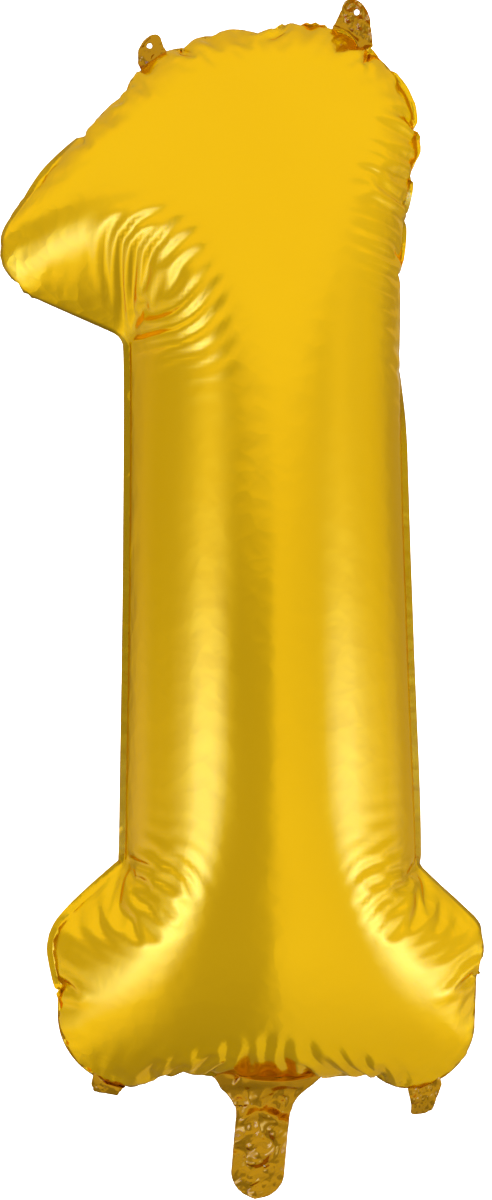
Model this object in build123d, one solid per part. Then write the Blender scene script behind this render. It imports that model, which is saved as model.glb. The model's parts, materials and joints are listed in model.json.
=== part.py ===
"""Foil number balloon: the digit 1, inflated, in gold metallised film.

Two die-cut plies of film are welded together round a narrow seam. Gas swells them into a
tube-like digit. Four small hang tabs and the filling tail are cut in one piece with the plies
and flex where they leave the seam. A flat valve of two film strips runs up the tail into
the balloon and shuts under the gas pressure.

Frame: millimetres, +Z up. The plies meet in the plane Y = 0 and the front faces -Y. The model
is drawn about the middle of the stem, with Z = 0 at the tail's lower end, and is moved
sideways at the end so that the origin is under the middle of the whole width.
"""
from build123d import *
import math
import os

# Inflated body
BODY_BOTTOM = 88.0          # height of the seam under the foot, above the tail's end
BODY_HEIGHT = 741.0         # seam to seam, from the foot to the crown
STEM_WIDTH = 194.0          # inflated diameter of the stem
CROWN_RISE = 220.0          # height over which the crown swells to full depth
FOOT_RISE = 200.0           # height over which the foot swells to full depth
RIDGE_FOLLOW = 0.6          # how far the front ridge follows the middle of a level

# Foot of the digit: reaches from the stem's middle, heights above the body's bottom
SOLE_LEFT = 130.0
SOLE_RIGHT = 121.0
FOOT_LEFT = 157.0
FOOT_RIGHT = 150.0
FOOT_LEVEL = 99.0           # height of the foot's widest level
FOOT_TOP = 155.0            # height where the foot's slopes meet the stem

# Flag and crown of the digit
FLAG_ROOT = 523.0           # height where the flag's underside meets the stem
FLAG_REACH = 208.0          # reach of the flag's corner before it is rounded
FLAG_LEVEL = 587.0          # height of the flag's corner
CROWN_LEFT = 57.0           # reach of the crown's left corner
CROWN_RIGHT = 93.0

# Radii of the seam's corners
SOLE_RADIUS = 26.0
FOOT_RADIUS = 28.0
INNER_RADIUS = 20.0
FLAG_ROOT_RADIUS = 26.0
FLAG_RADIUS = 36.0
CROWN_RADIUS = 80.0

# Film and welds
WALL = 0.5                  # stand-in thickness of one ply
SEAM = 5.5                  # width of the welded seam outside the gas space
WELD_LAND = 3.0             # width of the weld inside the outline
END_CAP = 0.1               # height left out of the shell at its thin ends

# Flexing roots of the tabs and the tail
ROOT_GAP = 0.7              # clearance between a rounded root and the edge that it faces
STUB = 3.0                  # how far the seam is drawn out to carry a root

# Hang tabs: both plies welded together
TAB_TIP_RADIUS = 5.0
HANG_HOLE_RADIUS = 2.0
HANG_HOLE_INSET = 8.0       # hole centre from the tab's tip
TABS = {
    # start of the ray that finds the tab's place on the seam (height from BODY_BOTTOM or
    # BODY_TOP), the ray's angle, root width, tip width, length, sideways shift of the tip
    "hang_tab_top_left": ((-48, -75), 123, 22, 16, 14, 6.5, "holed"),
    "hang_tab_top_right": ((23, -63), 60, 34, 21, 22, -9, "holed"),
    "hang_tab_bottom_left": ((-109, 40), -100, 24, 19, 11, 0, "plain"),
    "hang_tab_bottom_right": ((100, 40), -80, 22, 17, 25, 6, "plain"),
}

# Filling tail and valve
TAIL_X = -6.0               # middle of the tail's root
TAIL_WIDTH = 38.0
TAIL_LEAN = 5.0             # degrees from vertical, towards -X at the lower end
TAIL_HINGE = 66.0           # height of the line where the tail flexes
THROAT_WIDTH = 80.0         # width of the flared throat at the seam
THROAT_RADIUS = 12.0
THROAT_NECK = 9.0           # length of the neck between the flare and the hinge
VALVE_WIDTH = 24.0
VALVE_FILM = 0.2            # stand-in thickness of one valve strip
VALVE_TOP = 95.0            # height of the valve's upper end above the body's bottom
VALVE_INSET = 12.0          # height of the strips' lower end above the tail's end

# Levels of the shell: counts of steps, and heights of the closely stepped bends
FOOT_STEPS = 9
STEM_STEPS = 11
CROWN_STEPS = 11
BEND_STEPS = 9
FOOT_BEND = 84.0            # bend from the foot's slopes into the stem
FLAG_BEND = 86.0            # bend from the stem into the flag
FAR = 500.0                 # longer than any chord of the digit

BODY_TOP = BODY_BOTTOM + BODY_HEIGHT
STEM_R = STEM_WIDTH / 2
HINGE_OFFSET = WALL + ROOT_GAP


def digit_face():
    """The gas space seen from the front, as straight runs joined by arcs."""
    corners = [
        (-SOLE_LEFT, 0, SOLE_RADIUS),
        (-FOOT_LEFT, FOOT_LEVEL, FOOT_RADIUS),
        (-STEM_R, FOOT_TOP, INNER_RADIUS),
        (-STEM_R, FLAG_ROOT, FLAG_ROOT_RADIUS),
        (-FLAG_REACH, FLAG_LEVEL, FLAG_RADIUS),
        (-CROWN_LEFT, BODY_HEIGHT, CROWN_RADIUS),
        (CROWN_RIGHT, BODY_HEIGHT, CROWN_RADIUS),
        (STEM_R, FOOT_TOP, INNER_RADIUS),
        (FOOT_RIGHT, FOOT_LEVEL, FOOT_RADIUS),
        (SOLE_RIGHT, 0, SOLE_RADIUS),
    ]
    points = [(x, BODY_BOTTOM + height) for x, height, _ in corners]
    radii = [radius for _, _, radius in corners]
    return make_face(FilletPolyline(*points, radius=radii, close=True))


def reach(face, start, direction):
    """The last point of a face on the ray from start."""
    ray = Edge.make_line(start, start + direction * FAR)
    spans = (ray & face).edges()
    ends = [Vector(*vertex) for edge in spans for vertex in edge.vertices()]
    return max(ends, key=lambda point: (point - start).length)


def swelling(share):
    """Depth of the gas space as a share of full depth; a film pillow rises steeply."""
    return math.sqrt(math.sin(math.pi / 2 * min(1.0, share)))


def spread(low, high, steps):
    """Heights from low to high, closer together towards both ends."""
    shares = [(1 - math.cos(math.pi * i / steps)) / 2 for i in range(steps + 1)]
    return [low + (high - low) * share for share in shares]


def even(low, high, steps):
    """Evenly spaced heights between low and high, without the two ends."""
    return [low + (high - low) * i / steps for i in range(1, steps)]


def levels(bottom, top):
    """Heights of the shell's sections, closer together where the shape turns."""
    foot_bend = BODY_BOTTOM + FOOT_LEVEL
    stem = foot_bend + FOOT_BEND
    flag_bend = BODY_BOTTOM + FLAG_ROOT - FLAG_ROOT_RADIUS / 2
    crown = flag_bend + FLAG_BEND
    return (
        spread(bottom + END_CAP, foot_bend, FOOT_STEPS)
        + even(foot_bend, stem, BEND_STEPS)
        + spread(stem, flag_bend, STEM_STEPS)
        + even(flag_bend, crown, BEND_STEPS)
        + spread(crown, top - END_CAP, CROWN_STEPS)
    )


def half_section(face, height, inset):
    """The front half of one level: two quarter ellipses that meet on the ridge."""
    middle = Vector(face.center().X, height)
    left = reach(face, middle, Vector(-1, 0)).X
    right = reach(face, middle, Vector(1, 0)).X
    ridge = RIDGE_FOLLOW * (left + right) / 2
    rise = min((BODY_TOP - height) / CROWN_RISE, (height - BODY_BOTTOM) / FOOT_RISE)
    depth = STEM_R * swelling(rise) - inset
    chord = Line((left, 0), (right, 0))
    left_arc = EllipticalCenterArc((ridge, 0), ridge - left, depth, 180)
    right_arc = EllipticalCenterArc((ridge, 0), right - ridge, depth, 270)
    return Pos(0, 0, height) * make_face([left_arc, right_arc, chord])


def half_body(face, inset):
    """The front half of the inflated body, as one skin through its levels."""
    space = offset(face, amount=-inset) if inset else face
    heights = levels(BODY_BOTTOM + inset, BODY_TOP - inset)
    return loft([half_section(space, height, inset) for height in heights])


def flat(shape, thickness=WALL):
    """A flat film: a shape drawn in X and Z, given its thickness to the front of Y = 0."""
    return extrude(Plane.XZ * shape, thickness, dir=(0, -1, 0))


def tab_plane(face, name):
    """The plane of a tab, from the middle of its flexing root and with +Y along the tab."""
    (x, rise), angle = TABS[name][:2]
    height = (BODY_TOP if rise < 0 else BODY_BOTTOM) + rise
    way = Vector(math.cos(math.radians(angle)), math.sin(math.radians(angle)))
    seam = reach(face, Vector(x, height), way)
    root = seam + way * (SEAM + STUB + HINGE_OFFSET)
    return Plane(origin=(root.X, 0, root.Y), x_dir=(way.Y, 0, -way.X), z_dir=(0, -1, 0))


def tab_hole(name):
    """Centre of the tab's hang hole, in the tab's plane."""
    length, shift = TABS[name][4:6]
    along = length - HANG_HOLE_INSET
    return Vector(shift * along / length, along)


def hang_tab(face, name):
    """A tab with a rounded root that turns on its own flexing line."""
    root, tip, length, shift, kind = TABS[name][2:]
    outline = Polygon((-root / 2, 0), (root / 2, 0), (shift + tip / 2, length),
                      (shift - tip / 2, length), align=None)
    tip_corners = outline.vertices().sort_by(Axis.Y)[-2:]
    outline = fillet(tip_corners, TAB_TIP_RADIUS)
    if kind == "holed":
        hole = tab_hole(name)
        outline -= Pos(hole.X, hole.Y) * Circle(HANG_HOLE_RADIUS)
    blade = extrude(outline, WALL, both=True)
    bead = Rot(0, 90, 0) * Cylinder(WALL, root)
    return tab_plane(face, name).location * (blade + bead)


def stub_face(face, name):
    """The seam drawn out under a tab, as far as the edge that its root faces."""
    root = TABS[name][2]
    plane = tab_plane(face, name)
    edge = -HINGE_OFFSET
    corners = [(-root / 2, edge), (root / 2, edge), (root / 2, -root), (-root / 2, -root)]
    spots = [plane.from_local_coords(Vector(x, y, 0)) for x, y in corners]
    return Polygon(*[(spot.X, spot.Z) for spot in spots], align=None)


def throat_face():
    """The seam drawn down from the foot in a flare to the neck above the tail."""
    neck = TAIL_HINGE + HINGE_OFFSET
    half_neck = TAIL_WIDTH / 2 / math.cos(math.radians(TAIL_LEAN))
    half_top = THROAT_WIDTH / 2
    shoulder = BODY_BOTTOM - WALL
    flare = neck + THROAT_NECK
    points = [
        (TAIL_X - half_neck, neck), (TAIL_X - half_neck, flare), (TAIL_X - half_top, shoulder),
        (TAIL_X + half_top, shoulder), (TAIL_X + half_neck, flare), (TAIL_X + half_neck, neck),
    ]
    radii = [0, THROAT_RADIUS, 0, 0, THROAT_RADIUS, 0]
    return make_face(FilletPolyline(*points, radius=radii, close=True))


def strip_face(width, bottom):
    """A strip of the leaning tail, from its flexing line down to a square end."""
    lean = math.radians(TAIL_LEAN)
    half = width / 2 / math.cos(lean)
    end = Vector(TAIL_X - (TAIL_HINGE - bottom) * math.tan(lean), bottom)
    across = Vector(math.cos(lean), -math.sin(lean)) * width / 2
    left = end - across
    right = end + across
    return Polygon((TAIL_X - half, TAIL_HINGE), (TAIL_X + half, TAIL_HINGE),
                   (right.X, right.Y), (left.X, left.Y), align=None)


def tail_face():
    """The tail: a strip with a round end that just reaches Z = 0."""
    round_end = TAIL_WIDTH / 2
    middle = TAIL_X - (TAIL_HINGE - round_end) * math.tan(math.radians(TAIL_LEAN))
    return strip_face(TAIL_WIDTH, round_end) + Pos(middle, round_end) * Circle(round_end)


def valve_face(bottom):
    """The part of a valve strip that stands upright in the throat and the balloon."""
    half = VALVE_WIDTH / 2 / math.cos(math.radians(TAIL_LEAN))
    top = BODY_BOTTOM + VALVE_TOP
    return Polygon((TAIL_X - half, bottom), (TAIL_X + half, bottom),
                   (TAIL_X + half, top), (TAIL_X - half, top), align=None)


def panel(face):
    """The front ply of the body with its welded seam, tab stubs and half of the throat."""
    shell = half_body(face, 0) - half_body(face, WALL)
    seam = offset(face, amount=SEAM) + throat_face()
    for name in TABS:
        seam += stub_face(face, name)
    seam -= offset(face, amount=-WELD_LAND)
    return shell + flat(seam) - flat(valve_face(TAIL_HINGE), VALVE_FILM)


def tail_ply():
    """The tail's front ply, with a rounded root and a channel for its valve strip."""
    root = TAIL_WIDTH / math.cos(math.radians(TAIL_LEAN))
    bead = Pos(TAIL_X, 0, TAIL_HINGE) * Rot(0, 90, 0) * Cylinder(WALL, root)
    bead &= Pos(TAIL_X, -WALL, TAIL_HINGE) * Box(root, 2 * WALL, 2 * WALL)
    channel = strip_face(VALVE_WIDTH, VALVE_INSET) + valve_face(TAIL_HINGE)
    return flat(tail_face()) + bead - flat(channel, VALVE_FILM)


def valve_strip():
    """The valve's front strip from the throat up into the balloon."""
    return flat(valve_face(TAIL_HINGE + HINGE_OFFSET), VALVE_FILM)


def valve_inlet():
    """The lower end of the valve's front strip, in the tail."""
    return flat(strip_face(VALVE_WIDTH, VALVE_INSET), VALVE_FILM)


digit = digit_face()
nodes = {name: hang_tab(digit, name) for name in TABS}
front_pieces = {
    "front_panel": panel(digit),
    "tail_front_ply": tail_ply(),
    "valve_front_film": valve_strip(),
    "valve_inlet_front_film": valve_inlet(),
}
for name, piece in front_pieces.items():
    nodes[name] = piece
    nodes[name.replace("front", "back")] = mirror(piece, about=Plane.XZ)

boxes = [piece.bounding_box() for piece in nodes.values()]
left = min(box.min.X for box in boxes)
right = max(box.max.X for box in boxes)
to_middle = Pos(-(left + right) / 2, 0, 0)
os.makedirs("parts", exist_ok=True)
for name, piece in nodes.items():
    export_step(to_middle * Compound(piece.solids()), "parts/" + name + ".step")
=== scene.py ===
import bpy
import bmesh
import json
import math
import numpy as np
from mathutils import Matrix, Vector, noise
from mathutils.bvhtree import BVHTree
from mathutils.geometry import delaunay_2d_cdt
from mathutils.kdtree import KDTree


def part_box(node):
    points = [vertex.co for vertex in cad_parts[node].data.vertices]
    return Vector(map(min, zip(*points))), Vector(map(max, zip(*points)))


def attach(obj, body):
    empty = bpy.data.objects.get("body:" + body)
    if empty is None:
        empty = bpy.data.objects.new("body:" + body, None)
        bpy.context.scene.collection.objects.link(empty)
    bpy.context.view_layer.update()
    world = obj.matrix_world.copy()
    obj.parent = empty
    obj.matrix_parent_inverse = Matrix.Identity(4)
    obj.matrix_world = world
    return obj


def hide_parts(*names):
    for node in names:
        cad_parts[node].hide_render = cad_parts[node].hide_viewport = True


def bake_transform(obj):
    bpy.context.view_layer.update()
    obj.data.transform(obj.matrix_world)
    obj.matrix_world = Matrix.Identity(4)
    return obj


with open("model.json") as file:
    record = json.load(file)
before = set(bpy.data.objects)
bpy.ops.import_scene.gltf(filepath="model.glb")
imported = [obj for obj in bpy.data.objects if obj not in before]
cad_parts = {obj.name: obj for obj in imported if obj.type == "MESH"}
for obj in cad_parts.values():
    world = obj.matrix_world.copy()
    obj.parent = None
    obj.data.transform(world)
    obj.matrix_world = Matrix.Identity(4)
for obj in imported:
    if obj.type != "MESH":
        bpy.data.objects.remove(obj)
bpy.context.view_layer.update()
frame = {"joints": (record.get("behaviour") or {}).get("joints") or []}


# ---- Gold film -----------------------------------------------------------------------------
# Metallised nylon film: a mirror of evaporated metal under a clear yellow lacquer. Handling and
# gas pressure leave it with soft short crinkles, which gather where it is welded or folded.

BODY_GOLD = ((0.95, 0.565, 0.004), (0.92, 0.52, 0.003))
# The tabs and tail are the same gold film, but take a darker copy of its colour: painted shade for the
# darker look of their slack, crumpled film.
SHADED_LOOSE_GOLD = ((0.58, 0.29, 0.005), (0.43, 0.20, 0.004))


def group_socket(tree, name, in_out, kind, value=None):
    """A named input or output of a shader node group."""
    socket = tree.interface.new_socket(name=name, in_out=in_out, socket_type=kind)
    if value is not None:
        socket.default_value = value
    return socket


def crinkle_group():
    """Height of crinkled film: long soft waves and short sharp creases, as one value."""
    tree = bpy.data.node_groups.new("crinkled_film", "ShaderNodeTree")
    group_socket(tree, "Place", "INPUT", "NodeSocketVector")
    group_socket(tree, "Wave Scale", "INPUT", "NodeSocketFloat", 22.0)
    group_socket(tree, "Crease Scale", "INPUT", "NodeSocketFloat", 90.0)
    group_socket(tree, "Crease Share", "INPUT", "NodeSocketFloat", 0.5)
    group_socket(tree, "Height", "OUTPUT", "NodeSocketFloat")
    nodes = tree.nodes
    links = tree.links
    inside = nodes.new("NodeGroupInput")
    outside = nodes.new("NodeGroupOutput")
    wave = nodes.new("ShaderNodeTexNoise")
    wave.inputs["Detail"].default_value = 2.0
    wave.inputs["Distortion"].default_value = 0.4
    crease = nodes.new("ShaderNodeTexVoronoi")
    crease.feature = "F1"
    crease.inputs["Randomness"].default_value = 1.0
    bend = nodes.new("ShaderNodeTexNoise")
    bend.inputs["Detail"].default_value = 1.0
    shifted = nodes.new("ShaderNodeVectorMath")
    shifted.operation = "MULTIPLY_ADD"
    shifted.inputs[1].default_value = (0.012, 0.012, 0.012)
    share = nodes.new("ShaderNodeMath")
    share.operation = "MULTIPLY"
    total = nodes.new("ShaderNodeMath")
    total.operation = "ADD"
    links.new(inside.outputs["Place"], wave.inputs["Vector"])
    links.new(inside.outputs["Wave Scale"], wave.inputs["Scale"])
    links.new(inside.outputs["Place"], bend.inputs["Vector"])
    links.new(inside.outputs["Crease Scale"], bend.inputs["Scale"])
    links.new(bend.outputs["Color"], shifted.inputs[0])
    links.new(inside.outputs["Place"], shifted.inputs[2])
    links.new(shifted.outputs["Vector"], crease.inputs["Vector"])
    links.new(inside.outputs["Crease Scale"], crease.inputs["Scale"])
    links.new(crease.outputs["Distance"], share.inputs[0])
    links.new(inside.outputs["Crease Share"], share.inputs[1])
    links.new(wave.outputs["Fac"], total.inputs[0])
    links.new(share.outputs["Value"], total.inputs[1])
    links.new(total.outputs["Value"], outside.inputs["Height"])
    return tree


CRINKLED_FILM = crinkle_group()


def gold_film(name, colours, wave_scale, crease_scale, crease_share, depth, roughness):
    """Gold film whose crinkles are as strong as the piece's own crumple attribute says."""
    material = bpy.data.materials.new(name)
    material.use_nodes = True
    nodes = material.node_tree.nodes
    links = material.node_tree.links
    nodes.clear()
    out = nodes.new("ShaderNodeOutputMaterial")
    film = nodes.new("ShaderNodeBsdfPrincipled")
    place = nodes.new("ShaderNodeTexCoord")
    crinkle = nodes.new("ShaderNodeGroup")
    crinkle.node_tree = CRINKLED_FILM
    crinkle.inputs["Wave Scale"].default_value = wave_scale
    crinkle.inputs["Crease Scale"].default_value = crease_scale
    crinkle.inputs["Crease Share"].default_value = crease_share
    crumple = nodes.new("ShaderNodeAttribute")
    crumple.attribute_name = "crumple"
    strength = nodes.new("ShaderNodeMath")
    strength.operation = "MULTIPLY"
    bump = nodes.new("ShaderNodeBump")
    bump.inputs["Distance"].default_value = depth
    bump.inputs["Strength"].default_value = 1.0
    tint = nodes.new("ShaderNodeTexNoise")
    tint.inputs["Scale"].default_value = 7.0
    tint.inputs["Detail"].default_value = 3.0
    colour = nodes.new("ShaderNodeMix")
    colour.data_type = "RGBA"
    colour.inputs["A"].default_value = (*colours[0], 1)
    colour.inputs["B"].default_value = (*colours[1], 1)
    dull = nodes.new("ShaderNodeMapRange")
    dull.inputs["From Min"].default_value = 0.3
    dull.inputs["From Max"].default_value = 0.7
    dull.inputs["To Min"].default_value = roughness * 0.8
    dull.inputs["To Max"].default_value = roughness * 1.3
    film.inputs["Metallic"].default_value = 1.0
    film.inputs["Specular Tint"].default_value = (1.0, 0.78, 0.25, 1)
    film.inputs["Coat Weight"].default_value = 0.12
    film.inputs["Coat Roughness"].default_value = 0.06
    film.inputs["Coat IOR"].default_value = 1.5
    links.new(place.outputs["Object"], crinkle.inputs["Place"])
    links.new(place.outputs["Object"], tint.inputs["Vector"])
    links.new(crinkle.outputs["Height"], strength.inputs[0])
    links.new(crumple.outputs["Fac"], strength.inputs[1])
    links.new(strength.outputs["Value"], bump.inputs["Height"])
    links.new(bump.outputs["Normal"], film.inputs["Normal"])
    links.new(tint.outputs["Fac"], colour.inputs["Factor"])
    links.new(colour.outputs["Result"], film.inputs["Base Color"])
    links.new(tint.outputs["Fac"], dull.inputs["Value"])
    links.new(dull.outputs["Result"], film.inputs["Roughness"])
    links.new(film.outputs["BSDF"], out.inputs["Surface"])
    return material


BODY_FILM = gold_film("gold_body_film", BODY_GOLD, 16.0, 70.0, 0.25, 0.003, 0.2)
# The darker gold of the tabs and tail is painted shade.
SHADED_LOOSE_FILM = gold_film("gold_loose_film_shaded", SHADED_LOOSE_GOLD, 28.0, 34.0, 0.7, 0.003, 0.2)


# ---- Front and back plies ------------------------------------------------------------------
# Two sheets of film die-cut to one flat outline and heat welded round a narrow seam. The gas
# draws the flat cut in until it is tight: tube-like in the stem, puckered along the curves.

STEM_X = 0.01958                # middle of the stem, beside the middle of the whole width
SEAM_WIDTH = 0.0048
FILM_THICKNESS = 0.00025
FLAT_CUT = [
    # corners of the flat gas space (x from the stem's middle, height, radius), in metres
    (-0.155, 0.062, 0.070), (-0.180, 0.172, 0.045), (-0.150, 0.238, 0.022),
    (-0.150, 0.612, 0.022), (-0.227, 0.689, 0.046), (-0.160, 0.780, 0.450),
    (-0.072, 0.858, 0.155), (0.126, 0.861, 0.118), (0.150, 0.238, 0.022),
    (0.178, 0.174, 0.045), (0.151, 0.062, 0.068), (0.000, 0.050, 0.500),
]
GAS_PRESSURE = 0.03             # gas pressure, as a share of the film's stiffness per metre
SPEED_LIMIT = 0.001             # farthest that the film may move in one step
FIRST_LIFT = 0.1                # how far the plies are parted before the gas comes in
PUCKER_REACH = 0.025            # how far from the seam the crinkles die away


def rounded_outline(corners):
    """The closed outline through rounded corners, as closely spaced points."""
    line = []
    for i, (x, z, radius) in enumerate(corners):
        corner = np.array((x, z))
        before = np.array(corners[i - 1][:2]) - corner
        after = np.array(corners[(i + 1) % len(corners)][:2]) - corner
        before /= np.linalg.norm(before)
        after /= np.linalg.norm(after)
        angle = math.acos(float(before @ after))
        start = corner + before * radius / math.tan(angle / 2)
        stop = corner + after * radius / math.tan(angle / 2)
        middle = before + after
        centre = corner + middle / np.linalg.norm(middle) * radius / math.sin(angle / 2)
        first = math.atan2(*(start - centre)[::-1])
        last = math.atan2(*(stop - centre)[::-1])
        turn = (last - first + math.pi) % (2 * math.pi) - math.pi
        count = max(3, int(abs(turn) * radius / 0.001))
        for angle in np.linspace(first, first + turn, count):
            line.append(centre + radius * np.array((math.cos(angle), math.sin(angle))))
    return np.array(line)


def evenly(line, step):
    """A closed line again, with points an even step apart."""
    closed = np.vstack([line, line[:1]])
    lengths = np.linalg.norm(np.diff(closed, axis=0), axis=1)
    along = np.concatenate([[0], np.cumsum(lengths)])
    places = np.linspace(0, along[-1], round(along[-1] / step), endpoint=False)
    return np.column_stack([np.interp(places, along, closed[:, k]) for k in (0, 1)])


def pushed_out(line, distance):
    """A closed line, moved outwards by a distance."""
    way = np.roll(line, -1, 0) - np.roll(line, 1, 0)
    way /= np.linalg.norm(way, axis=1)[:, None]
    return line + np.column_stack([-way[:, 1], way[:, 0]]) * distance


def is_inside(points, line):
    """Which points lie inside a closed line."""
    x, z = points.T
    found = np.zeros(len(points), bool)
    for (ax, az), (bx, bz) in zip(line, np.roll(line, -1, 0)):
        if az != bz:
            crosses = (az > z) != (bz > z)
            found ^= crosses & (x < (bx - ax) * (z - az) / (bz - az) + ax)
    return found


def distance_to(points, line):
    """Distance of each point from a closely spaced line."""
    tree = KDTree(len(line))
    for i, (x, z) in enumerate(line):
        tree.insert((x, z, 0), i)
    tree.balance()
    return np.array([tree.find((x, z, 0))[2] for x, z in points])


class Film:
    """Both plies and the weld between them, as one net of triangles with a flat shape.

    Points run in this order: the seam, the outer rim, the front ply's inner points and the
    back ply's. Film pulls when it is stretched and gives way when it is pressed together.
    """

    def __init__(self, seam, rim, step):
        seam_points = evenly(seam, step)
        rim_points = evenly(rim, step * 1.02)
        low = rim_points.min(0)
        high = rim_points.max(0)
        row_step = step * math.sqrt(3) / 2
        rows = int((high[1] - low[1]) / row_step) + 2
        columns = int((high[0] - low[0]) / step) + 2
        row, column = np.mgrid[0:rows, 0:columns]
        x = low[0] + (column + 0.5 * (row % 2)) * step
        z = low[1] + row * row_step
        grid = np.column_stack([x.ravel(), z.ravel()])
        grid = grid[is_inside(grid, seam_points)]
        grid = grid[distance_to(grid, evenly(seam, step / 4)) > 0.62 * step]
        points = np.vstack([seam_points, rim_points, grid])
        self.step = step
        self.seam_count = len(seam_points)
        self.rim_count = len(rim_points)
        self.edge_count = self.seam_count + self.rim_count
        edges = [(i, (i + 1) % self.seam_count) for i in range(self.seam_count)]
        for i in range(self.rim_count):
            edges.append((self.seam_count + i, self.seam_count + (i + 1) % self.rim_count))
        spots = [Vector(point) for point in points]
        _, _, faces, origins, _, _ = delaunay_2d_cdt(spots, edges, [], 1, 1e-7)
        order = np.array([origin[0] for origin in origins])
        faces = order[np.array(faces)]
        a, b, c = (points[faces[:, k]] for k in range(3))
        turn = (b[:, 0] - a[:, 0]) * (c[:, 1] - a[:, 1]) - (b[:, 1] - a[:, 1]) * (c[:, 0] - a[:, 0])
        faces[turn < 0] = faces[turn < 0][:, ::-1]
        in_weld = ~is_inside((a + b + c) / 3, seam_points) & (faces < self.edge_count).all(1)
        self.weld = faces[in_weld]
        self.front = faces[~in_weld]
        shift = len(grid)
        self.back = np.where(self.front >= self.edge_count, self.front + shift, self.front)[:, ::-1]
        self.front_count = len(points)
        self.flat = np.vstack([points, grid])
        self.count = len(self.flat)
        self.measure()

    def measure(self):
        """Works out what the steps of the inflation need from the flat shape."""
        self.faces = np.vstack([self.front, self.back, self.weld])
        self.gas_faces = len(self.front) + len(self.back)
        layers = np.ones(len(self.faces))
        layers[self.gas_faces:] = 2
        one = self.flat[self.faces[:, 1]] - self.flat[self.faces[:, 0]]
        two = self.flat[self.faces[:, 2]] - self.flat[self.faces[:, 0]]
        twice = one[:, 0] * two[:, 1] - one[:, 1] * two[:, 0]
        self.inverse = np.stack([two[:, 1], -two[:, 0], -one[:, 1], one[:, 0]]) / twice
        self.area = np.abs(twice) / 2 * layers
        corners = self.faces.T.ravel()
        self.corner_order = np.argsort(corners, kind="stable")
        self.corner_start = np.searchsorted(corners[self.corner_order], np.arange(self.count))
        b11, b12, b21, b22 = self.inverse
        first = b11**2 + b12**2
        second = b21**2 + b22**2
        third = (b11 + b21)**2 + (b12 + b22)**2
        weights = np.stack([third, first, second], 1) * self.area[:, None]
        self.pull = np.bincount(self.faces.ravel(), weights.ravel(), self.count)
        self.measure_bending()

    def measure_bending(self):
        """Rows that give the film's curvature at each point from its neighbours."""
        rows = []
        columns = []
        weights = []
        for ply in (self.front, self.back):
            for k in range(3):
                i, j, o = ply[:, k], ply[:, (k + 1) % 3], ply[:, (k + 2) % 3]
                u = self.flat[i] - self.flat[o]
                v = self.flat[j] - self.flat[o]
                share = (u * v).sum(1) / np.abs(u[:, 0] * v[:, 1] - u[:, 1] * v[:, 0]) / 2
                rows += [i, j]
                columns += [j, i]
                weights += [share, share]
        key = np.concatenate(rows).astype(np.int64) * self.count + np.concatenate(columns)
        pairs, where = np.unique(key, return_inverse=True)
        share = np.bincount(where, np.concatenate(weights))
        row = pairs // self.count
        column = pairs % self.count
        inner = row >= self.edge_count
        row, column, share = row[inner], column[inner], share[inner]
        own = np.arange(self.edge_count, self.count)
        total = np.bincount(row, share, self.count)[own]
        gas = self.faces[:self.gas_faces]
        point_area = np.bincount(gas.ravel(), np.repeat(self.area[:self.gas_faces], 3), self.count) / 3
        row = np.concatenate([row, own])
        column = np.concatenate([column, own])
        share = np.concatenate([share, -total]) / np.sqrt(point_area[row])
        along_weld = math.sqrt(8 * SEAM_WIDTH / self.step)
        for first, count in ((0, self.seam_count), (self.seam_count, self.rim_count)):
            i = np.arange(count)
            row = np.concatenate([row, np.repeat(first + i, 3)])
            triple = np.stack([first + (i - 1) % count, first + i, first + (i + 1) % count], 1)
            column = np.concatenate([column, triple.ravel()])
            share = np.concatenate([share, np.tile([1.0, -2.0, 1.0], count) * along_weld])
        order = np.argsort(row, kind="stable")
        self.bend_column = column[order]
        self.bend_share = share[order]
        self.bend_start = np.searchsorted(row[order], np.arange(self.count))
        back = np.argsort(self.bend_column, kind="stable")
        self.back_row = row[order][back]
        self.back_share = self.bend_share[back]
        self.back_start = np.searchsorted(self.bend_column[back], np.arange(self.count))
        self.bend_pull = np.bincount(self.bend_column, self.bend_share**2, self.count)

    def settle(self, place, steps, bending, give, keep):
        """Steps of the inflation: stretch, gas pressure and bending until the film is at rest.

        give is what is left of the film's stiffness where it is pressed together, and keep
        is the share of its speed that the film keeps from one step to the next.
        """
        b11, b12, b21, b22 = (part[:, None] for part in self.inverse)
        area = self.area[:, None]
        ease = (1 / (1.5 * self.pull + 4 * bending * self.bend_pull))[:, None]
        bend = self.bend_share[:, None] * math.sqrt(bending)
        bend_back = self.back_share[:, None] * math.sqrt(bending)
        corner = [self.faces[:, k].copy() for k in range(3)]
        gas = self.gas_faces
        speed = np.zeros_like(place)
        for _ in range(steps):
            origin = place[corner[0]]
            one = place[corner[1]] - origin
            two = place[corner[2]] - origin
            across = one * b11 + two * b21
            up = one * b12 + two * b22
            c11 = np.einsum("ij,ij->i", across, across)
            c22 = np.einsum("ij,ij->i", up, up)
            c12 = np.einsum("ij,ij->i", across, up)
            middle = (c11 + c22) / 2
            half = (c11 - c22) / 2
            radius = np.sqrt(half**2 + c12**2) + 1e-9
            most = (middle + radius - 1) / 2
            least = (middle - radius - 1) / 2
            most = np.where(most < 0, most * give, most)
            least = np.where(least < 0, least * give, least)
            mean = (most + least) / 2
            lean = (most - least) / 2 / radius
            s11 = (mean + lean * half)[:, None] * area
            s22 = (mean - lean * half)[:, None] * area
            s12 = (lean * c12)[:, None] * area
            force_across = across * s11 + up * s12
            force_up = across * s12 + up * s22
            on_one = -(force_across * b11 + force_up * b12)
            on_two = -(force_across * b21 + force_up * b22)
            on_origin = -(on_one + on_two)
            push = np.cross(one[:gas], two[:gas]) * (GAS_PRESSURE / 6)
            on_origin[:gas] += push
            on_one[:gas] += push
            on_two[:gas] += push
            forces = np.concatenate([on_origin, on_one, on_two])[self.corner_order]
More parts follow.
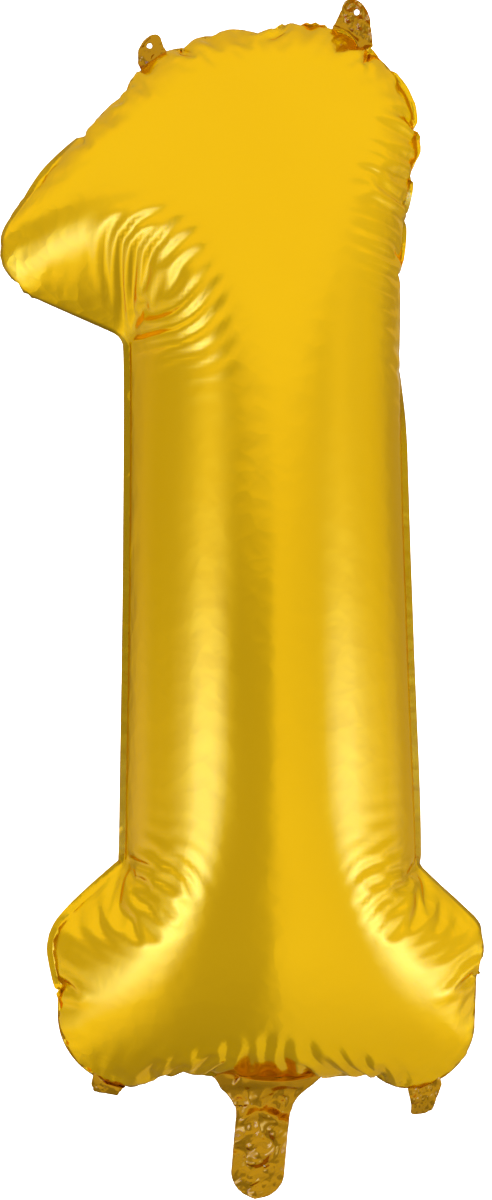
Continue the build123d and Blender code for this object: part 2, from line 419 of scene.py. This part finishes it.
            force = np.add.reduceat(forces, self.corner_start, axis=0)
            curve = np.add.reduceat(place[self.bend_column] * bend, self.bend_start, axis=0)
            force -= np.add.reduceat(curve[self.back_row] * bend_back, self.back_start, axis=0)
            speed = np.clip(keep * speed + ease * force, -SPEED_LIMIT, SPEED_LIMIT)
            place = place + speed
        return place


def puffed(film, seam):
    """The flat film with its plies lifted a little off each other, ready to inflate."""
    place = np.column_stack([film.flat[:, 0], np.zeros(film.count), film.flat[:, 1]])
    side = np.ones(film.count)
    side[:film.front_count] = -1
    side[:film.edge_count] = 0
    place[:, 1] = side * np.sqrt(distance_to(film.flat, evenly(seam, 0.003))) * FIRST_LIFT
    return place


def carried_over(coarse, place, fine):
    """The shape of a coarse film, read off at the points of a finer one."""
    shape = np.zeros((fine.count, 3))
    flat = [Vector((x, z, 0)) for x, z in coarse.flat]
    sides = (
        (coarse.front, np.arange(fine.front_count)),
        (coarse.back, np.arange(fine.front_count, fine.count)),
    )
    for ply, points in sides:
        faces = np.concatenate([ply, coarse.weld])
        tree = BVHTree.FromPolygons(flat, faces.tolist())
        hits = [tree.find_nearest(Vector((*fine.flat[i], 0)))[2] for i in points]
        a, b, c = faces[hits].T
        one = coarse.flat[b] - coarse.flat[a]
        two = coarse.flat[c] - coarse.flat[a]
        spot = fine.flat[points] - coarse.flat[a]
        twice = one[:, 0] * two[:, 1] - two[:, 0] * one[:, 1]
        u = ((spot[:, 0] * two[:, 1] - two[:, 0] * spot[:, 1]) / twice)[:, None]
        v = ((one[:, 0] * spot[:, 1] - spot[:, 0] * one[:, 1]) / twice)[:, None]
        shape[points] = place[a] * (1 - u - v) + place[b] * u + place[c] * v
    return shape


# rounds of the inflation: size of the triangles, steps, bending stiffness, stiffness left
# where the film is pressed together, and share of speed kept
ROUNDS = [
    (0.0140, 1500, 1e-6, 0.05, 0.970),
    (0.0140, 1500, 1e-6, 0.01, 0.985),
    (0.0070, 400, 1e-6, 0.02, 0.985),
    (0.0035, 300, 1e-8, 1.00, 0.970),
]


def inflated(seam, rim):
    """The film at rest under its gas, solved on coarse triangles first and then on finer ones."""
    film = None
    for step, steps, bending, give, keep in ROUNDS:
        if film is None:
            film = Film(seam, rim, step)
            place = puffed(film, seam)
        elif step != film.step:
            finer = Film(seam, rim, step)
            place = carried_over(film, place, finer)
            film = finer
        place = film.settle(place, steps, bending, give, keep)
    return film, place


def mesh_piece(name, points, faces, material, crumple):
    """A mesh object of film with its crumple attribute and its material."""
    mesh = bpy.data.meshes.new(name)
    mesh.from_pydata([tuple(point) for point in points], [], [tuple(map(int, face)) for face in faces])
    mesh.update()
    attribute = mesh.attributes.new("crumple", "FLOAT", "POINT")
    attribute.data.foreach_set("value", np.asarray(crumple, np.float32))
    mesh.polygons.foreach_set("use_smooth", [True] * len(mesh.polygons))
    mesh.materials.append(material)
    piece = bpy.data.objects.new(name, mesh)
    bpy.context.collection.objects.link(piece)
    return piece


def thicken(piece, thickness, offset):
    """Gives a film its thickness, so that the piece is closed."""
    solid = piece.modifiers.new("thickness", "SOLIDIFY")
    solid.thickness = thickness
    solid.offset = offset
    solid.use_even_offset = False


seam = evenly(rounded_outline(FLAT_CUT), 0.001)
rim = pushed_out(seam, SEAM_WIDTH)
film, place = inflated(seam, rim)
place[:, 0] += STEM_X

seam_distance = distance_to(film.flat, evenly(seam, 0.002))
crumple = 0.15 + 0.85 * np.exp(-seam_distance / PUCKER_REACH)
for side, ply, weld in (("front", film.front, film.weld), ("back", film.back, film.weld[:, ::-1])):
    faces = np.vstack([ply, weld])
    used, numbers = np.unique(faces, return_inverse=True)
    piece = mesh_piece(side + "_ply", place[used], numbers.reshape(-1, 3), BODY_FILM, crumple[used])
    thicken(piece, FILM_THICKNESS, 1)
    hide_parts(side + "_panel")
    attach(piece, "balloon")


# ---- Hang tabs -----------------------------------------------------------------------------
# Four tongues of film, die-cut in one with both plies and welded flat. They flex where they
# leave the weld, and handling has crumpled them. The top two have a punched hole.

TABS = {
    # root width, tip width, length past the flexing line, sideways shift, curl, hole radius
    "hang_tab_top_left": (0.024, 0.020, 0.014, 0.0065, 20, 0.002),
    "hang_tab_top_right": (0.033, 0.024, 0.022, -0.009, -25, 0.002),
    "hang_tab_bottom_left": (0.026, 0.019, 0.011, 0.0, 60, 0),
    "hang_tab_bottom_right": (0.026, 0.017, 0.025, 0.006, 30, 0),
}
HOLE_INSET = 0.008              # middle of the hole, from the tab's tip
TAB_ROWS = 45
TAB_COLUMNS = 37
TAB_CRUMPLE_SIZE = 0.009        # size of the ridges
TAB_CRUMPLE = 0.0022            # height of the ridges
SHORTEST_ROOT = 0.005           # least film between the weld's rim and a flexing line
SIDEWAYS = Vector((0, 1, 0))


def eased(t):
    """From 0 to 1 with a level start and end."""
    t = min(1.0, max(0.0, t))
    return t * t * (3 - 2 * t)


def crumpled(spot, seed, size):
    """Height of hand-crumpled film at a spot: ridges of two sizes."""
    wide = noise.noise(Vector((spot[0] / size, spot[1] / size, seed)))
    fine = noise.noise(Vector((spot[0] / size * 2.7, spot[1] / size * 2.7, seed + 9)))
    return (0.5 - abs(wide)) * 1.6 + (0.3 - abs(fine)) * 0.6


class Root:
    """The stretch of the weld that a tab or the tail grows out of."""

    def __init__(self, hinge, way, across, width):
        self.way = way
        self.seam = place[:film.seam_count]
        self.rim = place[film.seam_count:film.edge_count]
        self.flat_seam = film.flat[:film.seam_count]
        self.flat_rim = film.flat[film.seam_count:film.edge_count]
        aim = np.array(hinge - way * SHORTEST_ROOT)
        self.middle = int(np.argmin(np.linalg.norm(self.rim - aim, axis=1)))
        lengths = np.linalg.norm(np.roll(self.flat_rim, -1, 0) - self.flat_rim, axis=1)
        self.along = np.concatenate([[0], np.cumsum(lengths)])
        self.width = width
        axis = np.array((across.x, across.z))
        ahead = self.flat_rim[(self.middle + 1) % len(self.rim)] - self.flat_rim[self.middle]
        self.turn = 1 if float(ahead @ axis) > 0 else -1
        self.reach = max(SHORTEST_ROOT, (hinge - Vector(self.rim[self.middle])).dot(way))

    def at(self, u):
        """Seam point and rim point at u, from -1 to 1 across the root."""
        total = self.along[-1]
        spot = (self.along[self.middle] + self.turn * u * self.width / 2) % total
        first = int(np.searchsorted(self.along, spot, side="right")) - 1
        share = (spot - self.along[first]) / (self.along[first + 1] - self.along[first])
        second = (first + 1) % len(self.rim)
        flat = self.flat_rim[first] * (1 - share) + self.flat_rim[second] * share
        rim_spot = self.rim[first] * (1 - share) + self.rim[second] * share
        away = np.linalg.norm(self.flat_seam - flat, axis=1)
        nearest = int(np.argmin(away))
        count = len(self.seam)
        other = min((nearest - 1) % count, (nearest + 1) % count, key=lambda i: away[i])
        step = self.flat_seam[other] - self.flat_seam[nearest]
        share = float(np.clip((flat - self.flat_seam[nearest]) @ step / (step @ step), 0, 1))
        seam_spot = self.seam[nearest] * (1 - share) + self.seam[other] * share
        return Vector(seam_spot), Vector(rim_spot)


def grown_out(root, distance, u, target, hold):
    """A point of a tongue: on the weld at first, and at its own target past the flexing line."""
    seam_spot, rim_spot = root.at(u)
    if distance < 0:
        return rim_spot.lerp(seam_spot, -distance / SEAM_WIDTH)
    way = ((rim_spot - seam_spot).normalized() + root.way * 2).normalized()
    follow = rim_spot + way * distance
    return follow.lerp(target, eased(distance / hold))


def grid_faces(rows, columns):
    """Quads of a grid whose points run row by row."""
    faces = []
    for j in range(rows - 1):
        for i in range(columns - 1):
            a = j * columns + i
            faces.append((a, a + 1, a + columns + 1, a + columns))
    return faces


def punch(piece, middle, radius):
    """Cuts a round hole through a tongue of film."""
    work = bmesh.new()
    work.from_mesh(piece.data)
    gone = [face for face in work.faces if (face.calc_center_median() - middle).length < radius]
    bmesh.ops.delete(work, geom=gone, context="FACES")
    for vert in work.verts:
        if vert.is_boundary and (vert.co - middle).length < radius * 1.8:
            across = vert.co - middle
            vert.co = middle + across.normalized() * radius
    work.to_mesh(piece.data)
    work.free()


def hang_tab(name, joint):
    """One tab, from its root on the weld to its round tip."""
    root_width, tip_width, length, shift, curl, hole = TABS[name]
    axis = Vector(joint["axis"])
    way = Vector((-axis.z, 0, axis.x))
    hinge = Vector(joint["pos_m"])
    root = Root(hinge, way, axis, root_width * 1.1)
    tip = tip_width / 2
    full = root.reach + length
    seed = sum(map(ord, name)) % 97
    points = []
    for j in range(TAB_ROWS):
        distance = full * (1 - (1 - j / (TAB_ROWS - 1))**1.5) if j else -SEAM_WIDTH * 0.6
        past = max(0.0, distance - root.reach)
        from_tip = full - distance
        half = tip + (root_width / 2 - tip) * (1 - eased(distance / (0.7 * full)))
        if from_tip < tip:
            half = min(half, math.sqrt(max(1e-8, tip**2 - (tip - from_tip)**2)))
        angle = math.radians(curl) * past / length
        lift = past * math.sin(angle)
        for i in range(TAB_COLUMNS):
            u = 2 * i / (TAB_COLUMNS - 1) - 1
            side = u * half + shift * past / length
            crease = crumpled((side, distance), seed, TAB_CRUMPLE_SIZE) * TAB_CRUMPLE
            crease *= eased(distance / 0.008)
            target = hinge + way * ((distance - root.reach) * math.cos(angle)) + axis * side
            target += SIDEWAYS * (lift + crease)
            points.append(grown_out(root, distance, u * half / (root_width / 2), target, root.reach))
    crumple = [0.5 + 0.5 * eased(j / 10) for j in range(TAB_ROWS) for _ in range(TAB_COLUMNS)]
    faces = grid_faces(TAB_ROWS, TAB_COLUMNS)
    piece = mesh_piece(name + "_film", points, faces, SHADED_LOOSE_FILM, crumple)
    if hole:
        along = length - HOLE_INSET
        spot = hinge + way * along + axis * (shift * along / length)
        near = min(points, key=lambda point: (point.xz - spot.xz).length)
        punch(piece, near, hole)
    thicken(piece, 2 * FILM_THICKNESS, 0)
    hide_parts(name)
    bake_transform(piece)


for joint in frame["joints"]:
    if joint["child"] in TABS:
        hang_tab(joint["child"], joint)


# ---- Throat and filling tail ---------------------------------------------------------------
# Below the foot both plies run on as a flared throat and a narrow tail, welded along the sides
# and open at the end for the nozzle. It is slack film: folded across, dented and crumpled.

TAIL_WIDTH = 0.038
THROAT_WIDTH = 0.084
TAIL_LEAN = math.radians(5)
MOUTH_ROUND = 0.019
THROAT_HOLD = 0.009             # how far below the rim the throat still follows the weld
PLY_GAP = 0.0004                # half the least gap between the plies
WELD_COVER = 0.0004             # how much farther they stand off where they cover the weld
TAIL_CRUMPLE_SIZE = 0.019       # size of the ridges
TAIL_CRUMPLE = 0.0042           # height of the ridges
FOLD_DEPTH = 0.0035             # depth of the fold across the tail, V-shaped
TAIL_SWELL = 0.0022             # how far a slack ply stands off the middle
TAIL_ROWS = 90
TAIL_COLUMNS = 41

tail_joint = next(joint for joint in frame["joints"] if joint["child"] == "tail")
tail_hinge = Vector(tail_joint["pos_m"])
DOWN = Vector((0, 0, -1))
tail_root = Root(tail_hinge, DOWN, Vector((1, 0, 0)), THROAT_WIDTH)
tail_way = Vector((-math.sin(TAIL_LEAN), 0, -math.cos(TAIL_LEAN)))
tail_across = Vector((math.cos(TAIL_LEAN), 0, -math.sin(TAIL_LEAN)))
tail_length = (tail_hinge.z - MOUTH_ROUND) / math.cos(TAIL_LEAN) + MOUTH_ROUND
tail_full = tail_root.reach + tail_length


def tail_half_width(distance):
    """Half the width of the throat and tail, at a distance from the weld's rim."""
    narrow = TAIL_WIDTH / 2
    down = min(1.0, distance / tail_root.reach / 1.5)
    half = narrow + (THROAT_WIDTH / 2 - narrow) * (1 - down)**2.3
    from_end = tail_full - distance
    if from_end < MOUTH_ROUND:
        half = min(half, math.sqrt(max(1e-7, MOUTH_ROUND**2 - (MOUTH_ROUND - from_end)**2)))
    return half


def tail_spot(distance, side):
    """A point of the tail's middle surface, crumpled, at a sideways distance from its line."""
    half = tail_half_width(distance)
    past = distance - tail_root.reach
    if past < 0:
        spot = tail_hinge - DOWN * -past + Vector((side, 0, 0))
    else:
        spot = tail_hinge + tail_way * past + tail_across * side
    fold = FOLD_DEPTH * math.exp(-((past - 0.004 - 0.35 * abs(side)) / 0.004)**2)
    slanted = (side + distance * 0.5, distance)
    crease = crumpled(slanted, 3.0, TAIL_CRUMPLE_SIZE) * TAIL_CRUMPLE * eased(distance / 0.015)
    target = spot + SIDEWAYS * (crease - fold)
    u = max(-1.0, min(1.0, side / max(half, 1e-6)))
    share = min(1.0, half / (THROAT_WIDTH / 2))
    return grown_out(tail_root, distance, u * share, target, THROAT_HOLD)


def tail_ply(name, side_sign, nodes):
    """One ply of the throat and tail: it stands off the middle between its welded edges."""
    points = []
    for j in range(TAIL_ROWS):
        if j < 3:
            distance = SEAM_WIDTH * (j / 2 - 1)
        else:
            distance = tail_full * (1 - (1 - (j - 2) / (TAIL_ROWS - 3))**1.25)
        half = tail_half_width(max(0, distance))
        for i in range(TAIL_COLUMNS):
            u = 2 * i / (TAIL_COLUMNS - 1) - 1
            swell = TAIL_SWELL * (1 - u * u) * eased(distance / 0.01)
            swell *= 0.7 + 0.3 * noise.noise(Vector((u * 2, distance * 60, side_sign * 5.0)))
            swell += WELD_COVER * (1 - eased(distance / 0.01))
            spot = tail_spot(distance, u * half)
            points.append(spot + SIDEWAYS * side_sign * (PLY_GAP + swell))
    crumple = [0.6 + 0.4 * eased(j / 20) for j in range(TAIL_ROWS) for _ in range(TAIL_COLUMNS)]
    faces = grid_faces(TAIL_ROWS, TAIL_COLUMNS)
    if side_sign > 0:
        faces = [face[::-1] for face in faces]
    piece = mesh_piece(name, points, faces, SHADED_LOOSE_FILM, crumple)
    thicken(piece, FILM_THICKNESS, 0)
    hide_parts(*nodes)
    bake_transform(piece)


tail_ply("tail_front_film", -1, ["tail_front_ply"])
tail_ply("tail_back_film", 1, ["tail_back_ply"])


# ---- Valve ---------------------------------------------------------------------------------
# Two narrow strips of clear film, welded along their sides into a flat tube. It runs from the
# tail up into the balloon, where the gas presses it shut. A milky release coat lines it.

VALVE_WIDTH = 0.024
VALVE_FOOT = 0.012              # height of its lower end above the tail's end
VALVE_ROWS = 70
VALVE_COLUMNS = 9


def valve_film():
    """Clear limp film with a milky coat."""
    material = bpy.data.materials.new("valve_clear_film")
    material.use_nodes = True
    nodes = material.node_tree.nodes
    links = material.node_tree.links
    film_shader = nodes["Principled BSDF"]
    film_shader.inputs["Transmission Weight"].default_value = 0.6
    film_shader.inputs["IOR"].default_value = 1.45
    place_node = nodes.new("ShaderNodeTexCoord")
    cloud = nodes.new("ShaderNodeTexNoise")
    cloud.inputs["Scale"].default_value = 60.0
    tone = nodes.new("ShaderNodeMapRange")
    tone.inputs["To Min"].default_value = 0.2
    tone.inputs["To Max"].default_value = 0.45
    colour = nodes.new("ShaderNodeMix")
    colour.data_type = "RGBA"
    colour.inputs["A"].default_value = (0.80, 0.82, 0.80, 1)
    colour.inputs["B"].default_value = (0.92, 0.93, 0.91, 1)
    links.new(place_node.outputs["Object"], cloud.inputs["Vector"])
    links.new(cloud.outputs["Fac"], tone.inputs["Value"])
    links.new(tone.outputs["Result"], film_shader.inputs["Roughness"])
    links.new(cloud.outputs["Fac"], colour.inputs["Factor"])
    links.new(colour.outputs["Result"], film_shader.inputs["Base Color"])
    return material


VALVE_FILM = valve_film()
valve_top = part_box("valve_front_film")[1].z


def valve_strip(side, side_sign):
    """One strip of the valve, inside the tail and up into the gas space."""
    weld_height = place[film.seam_count + tail_root.middle][2]
    points = []
    bottom = VALVE_FOOT
    for j in range(VALVE_ROWS):
        height = valve_top + (bottom - valve_top) * j / (VALVE_ROWS - 1)
        distance = weld_height - height
        for i in range(VALVE_COLUMNS):
            u = 2 * i / (VALVE_COLUMNS - 1) - 1
            across = u * VALVE_WIDTH / 2
            spot = tail_spot(max(distance, -SEAM_WIDTH), across)
            if distance < -SEAM_WIDTH:
                spot.z = height
            bulge = PLY_GAP * (0.35 + 0.3 * (1 - u * u))
            points.append(spot + SIDEWAYS * side_sign * bulge)
    faces = grid_faces(VALVE_ROWS, VALVE_COLUMNS)
    if side_sign > 0:
        faces = [face[::-1] for face in faces]
    crumple = [0.2] * len(points)
    piece = mesh_piece("valve_%s_strip" % side, points, faces, VALVE_FILM, crumple)
    thicken(piece, 0.0001, 0)
    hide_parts("valve_%s_film" % side, "valve_inlet_%s_film" % side)
    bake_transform(piece)


valve_strip("front", -1)
valve_strip("back", 1)


# ---- Studio --------------------------------------------------------------------------------
# A pale floor that runs up into a wall, soft boxes that light it, and a plain room with two
# cool upright strips of light. Only the room shows in the film.

EYE_DISTANCE = 1.25
EYE_HEIGHT = 0.4255
VIEW_HEIGHT = 0.852             # what the picture takes in at the balloon's own plane

camera_data = bpy.data.cameras.new("camera")
camera_data.sensor_fit = "VERTICAL"
camera_data.angle_y = 2 * math.atan(VIEW_HEIGHT / 2 / EYE_DISTANCE)
camera = bpy.data.objects.new("camera", camera_data)
camera.location = (0.0011, -EYE_DISTANCE, EYE_HEIGHT)
camera.rotation_euler = (math.pi / 2, 0, 0)
bpy.context.collection.objects.link(camera)
bpy.context.scene.camera = camera
bpy.context.scene.view_settings.view_transform = "Standard"

FLOOR_DEPTH = -0.35
WALL_FOOT = 3.2                 # where the floor starts to curve up
WALL_ROUND = 0.8


def sweep():
    """A pale floor that curves up into a plain wall behind the balloon."""
    profile = [(-4.0, FLOOR_DEPTH), (WALL_FOOT, FLOOR_DEPTH)]
    for i in range(1, 13):
        turn = math.pi / 2 * i / 12
        y = WALL_FOOT + WALL_ROUND * math.sin(turn)
        profile.append((y, FLOOR_DEPTH + WALL_ROUND * (1 - math.cos(turn))))
    profile.append((WALL_FOOT + WALL_ROUND, 5.0))
    points = []
    faces = []
    for x in (-5.0, 5.0):
        points += [(x, y, z) for y, z in profile]
    count = len(profile)
    for i in range(count - 1):
        faces.append((i, count + i, count + i + 1, i + 1))
    mesh = bpy.data.meshes.new("floor")
    mesh.from_pydata(points, [], faces)
    mesh.polygons.foreach_set("use_smooth", [True] * len(mesh.polygons))
    material = bpy.data.materials.new("pale_paper")
    material.use_nodes = True
    paper = material.node_tree.nodes["Principled BSDF"]
    paper.inputs["Base Color"].default_value = (0.9, 0.9, 0.9, 1)
    paper.inputs["Roughness"].default_value = 0.9
    paper.inputs["Emission Color"].default_value = (1, 1, 1, 1)
    paper.inputs["Emission Strength"].default_value = 1.0
    mesh.materials.append(material)
    floor = bpy.data.objects.new("floor", mesh)
    bpy.context.collection.objects.link(floor)
    floor.visible_glossy = False


def soft_light(name, place, aim, width, height, power):
    """A soft box: a lamp that faces a point. The film does not mirror it."""
    lamp = bpy.data.lights.new(name, "AREA")
    lamp.shape = "RECTANGLE"
    lamp.size = width
    lamp.size_y = height
    lamp.energy = power
    box = bpy.data.objects.new(name, lamp)
    box.location = place
    box.rotation_euler = (Vector(aim) - Vector(place)).to_track_quat("-Z", "Y").to_euler()
    bpy.context.collection.objects.link(box)
    box.visible_glossy = False


def product(nodes, links, first, second):
    """The product of two colours."""
    mix = nodes.new("ShaderNodeMix")
    mix.data_type = "RGBA"
    mix.blend_type = "MULTIPLY"
    mix.inputs["Factor"].default_value = 1.0
    links.new(first, mix.inputs["A"])
    links.new(second, mix.inputs["B"])
    return mix.outputs["Result"]


def graded(nodes, links, value, stops):
    """A grey that follows a value from -1 to 1 through its stops."""
    fit = nodes.new("ShaderNodeMapRange")
    fit.inputs["From Min"].default_value = -1
    ramp = nodes.new("ShaderNodeValToRGB")
    elements = ramp.color_ramp.elements
    while len(elements) < len(stops):
        elements.new(0.5)
    for element, (position, grey) in zip(elements, stops):
        element.position = (position + 1) / 2
        element.color = (grey, grey, grey, 1)
    links.new(value, fit.inputs["Value"])
    links.new(fit.outputs["Result"], ramp.inputs["Fac"])
    return ramp.outputs["Color"]


def surroundings():
    """The room that the film mirrors: ceiling, lit and dark stretches of wall, floor, strips."""
    world = bpy.data.worlds.new("room")
    world.use_nodes = True
    nodes = world.node_tree.nodes
    links = world.node_tree.links
    back = nodes["Background"]
    place_node = nodes.new("ShaderNodeTexCoord")
    parts = nodes.new("ShaderNodeSeparateXYZ")
    links.new(place_node.outputs["Generated"], parts.inputs["Vector"])
    wall = graded(nodes, links, parts.outputs["X"], WALL_TONES)
    floor = graded(nodes, links, parts.outputs["Z"], FLOOR_TONES)
    behind = graded(nodes, links, parts.outputs["Y"], BACK_TONES)
    square = nodes.new("ShaderNodeMath")
    square.operation = "MULTIPLY"
    links.new(parts.outputs["X"], square.inputs[0])
    links.new(parts.outputs["X"], square.inputs[1])
    edge = nodes.new("ShaderNodeMath")
    edge.operation = "MULTIPLY_ADD"
    edge.inputs[1].default_value = -CEILING_RISE
    links.new(square.outputs["Value"], edge.inputs[0])
    links.new(parts.outputs["Z"], edge.inputs[2])
    above = nodes.new("ShaderNodeMapRange")
    above.interpolation_type = "SMOOTHSTEP"
    above.inputs["From Min"].default_value = CEILING_EDGE - CEILING_BLUR
    above.inputs["From Max"].default_value = CEILING_EDGE + CEILING_BLUR
    links.new(edge.outputs["Value"], above.inputs["Value"])
    below = product(nodes, links, wall, floor)
    whole = nodes.new("ShaderNodeMix")
    whole.data_type = "RGBA"
    whole.inputs["B"].default_value = (CEILING_TONE, CEILING_TONE, CEILING_TONE, 1)
    links.new(above.outputs["Result"], whole.inputs["Factor"])
    links.new(below, whole.inputs["A"])
    room = product(nodes, links, whole.outputs["Result"], behind)
    across = graded(nodes, links, parts.outputs["X"], STRIP_TONES)
    upward = graded(nodes, links, parts.outputs["Z"], STRIP_HEIGHTS)
    ahead = graded(nodes, links, parts.outputs["Y"], STRIP_DEPTHS)
    cool = nodes.new("ShaderNodeRGB")
    cool.outputs["Color"].default_value = STRIP_COLOUR
    patch = product(nodes, links, product(nodes, links, across, upward), ahead)
    strip = product(nodes, links, patch, cool.outputs["Color"])
    ray = nodes.new("ShaderNodeLightPath")
    lit = nodes.new("ShaderNodeMix")
    lit.data_type = "RGBA"
    lit.blend_type = "ADD"
    links.new(ray.outputs["Is Glossy Ray"], lit.inputs["Factor"])
    links.new(room, lit.inputs["A"])
    links.new(strip, lit.inputs["B"])
    links.new(lit.outputs["Result"], back.inputs["Color"])
    bpy.context.scene.world = world


# tones of the room and share of the strips, each as (a part of the direction, brightness):
# the wall and the strips go by its sideways part, floor and heights by its upward part, and
# back and depths by its part away from the eye
WALL_TONES = [
    (-1.0, 0.6), (-0.95, 0.68), (-0.82, 0.92), (-0.68, 0.84), (-0.56, 0.62), (-0.44, 0.5),
    (-0.02, 0.5), (0.06, 0.88), (0.5, 0.82), (0.75, 0.78), (0.9, 0.92), (1.0, 0.82),
]
FLOOR_TONES = [(-1.0, 0.85), (-0.74, 0.95), (-0.58, 1.08), (-0.12, 1.08), (0.03, 0.95), (1.0, 0.9)]
BACK_TONES = [(-1.0, 1.0), (0.1, 1.0), (0.6, 0.7), (1.0, 0.6)]
STRIP_TONES = [
    (-1.0, 0.0), (-0.93, 0.3), (-0.86, 1.0), (-0.7, 0.95), (-0.54, 0.0),
    (0.68, 0.0), (0.84, 1.0), (0.93, 1.0), (1.0, 0.3),
]
STRIP_HEIGHTS = [
    (-1.0, 0.0), (-0.55, 0.0), (-0.38, 0.5), (-0.2, 1.0), (-0.1, 0.65), (0.02, 0.08), (0.08, 0.0),
]
STRIP_DEPTHS = [(-1.0, 1.0), (-0.15, 1.0), (0.25, 0.1), (1.0, 0.0)]
STRIP_COLOUR = (0.6, 1.15, 24.0, 1)
CEILING_TONE = 0.98
CEILING_EDGE = 0.05             # upward part of the direction in which the ceiling starts
CEILING_BLUR = 0.04
CEILING_RISE = 0.35             # how much higher that edge lies towards the sides

sweep()
surroundings()
soft_light("left_box", (-1.9, -1.0, 0.7), (0, 0, 0.45), 0.9, 2.2, 12)
soft_light("right_box", (2.0, -0.1, 0.6), (0, 0, 0.45), 0.6, 2.2, 8)
soft_light("top_box", (0.0, -0.6, 2.3), (0, 0, 0.45), 1.6, 1.2, 4)
soft_light("wall_box", (0.0, 1.6, 3.2), (0, 4.0, 0.4), 2.5, 0.5, 30)
